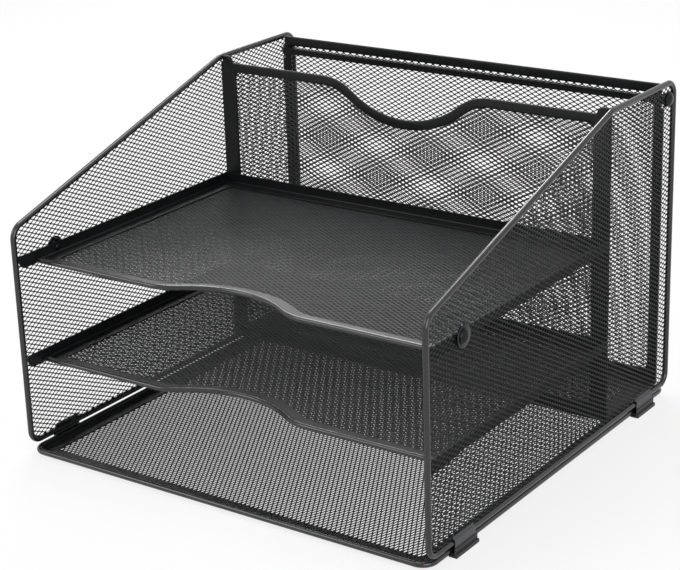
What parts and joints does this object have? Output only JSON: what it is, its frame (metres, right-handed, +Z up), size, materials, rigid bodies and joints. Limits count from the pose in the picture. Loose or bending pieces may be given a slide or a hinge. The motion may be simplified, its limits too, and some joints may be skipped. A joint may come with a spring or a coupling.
{
  "type": "envelope sorter with drawer",
  "caption": "Desktop mesh organizer: stacked letter trays with finger scoops, an upright file slot behind a divider, and a shallow drawer that slides out below.",
  "frame": {"origin": "on the table, midway between the side frames and midway between the front and rear posts", "axes": "+X to the right as seen from the front, the open front faces -Y, +Z up"},
  "size_m": [0.325, 0.315, 0.229],
  "materials": {
    "rod_steel": "black satin powder coat",
    "mesh_steel": "black satin powder coat",
    "sheet_steel": "black satin powder coat",
    "clip_steel": "charcoal satin powder coat",
    "fastener_steel": "black zinc plate, semi-gloss",
    "foot_rubber": "matt black moulded rubber"
  },
  "bodies": {
    "frame": {"right_side_rod": "rod_steel", "left_side_rod": "rod_steel", "right_side_mesh": "mesh_steel", "left_side_mesh": "mesh_steel", "divider_frame": "sheet_steel", "divider_mesh": "mesh_steel", "back_frame": "sheet_steel", "back_mesh": "mesh_steel", "back_cross_bar": "sheet_steel", "top_tray_frame": "sheet_steel", "top_tray_front_wire": "rod_steel", "top_tray_mesh": "mesh_steel", "middle_tray_frame": "sheet_steel", "middle_tray_front_wire": "rod_steel", "middle_tray_mesh": "mesh_steel", "rear_floor_frame": "sheet_steel", "rear_floor_mesh": "mesh_steel", "front_right_clip": "clip_steel", "rear_right_clip": "clip_steel", "front_left_clip": "clip_steel", "rear_left_clip": "clip_steel", "front_right_foot": "foot_rubber", "rear_right_foot": "foot_rubber", "front_left_foot": "foot_rubber", "rear_left_foot": "foot_rubber", "tray_screws": "fastener_steel", "tray_screw_washers": "fastener_steel", "cross_bar_screws": "fastener_steel", "cross_bar_nuts": "fastener_steel"},
    "drawer": {"drawer_rim_wire": "rod_steel", "drawer_pan": "sheet_steel", "drawer_mesh": "mesh_steel"}
  },
  "joints": [
    {"name": "drawer_slide", "type": "slide", "parent": "frame", "child": "drawer", "axis": [0, -1, 0], "range_m": [0, 0.23]}
  ]
}
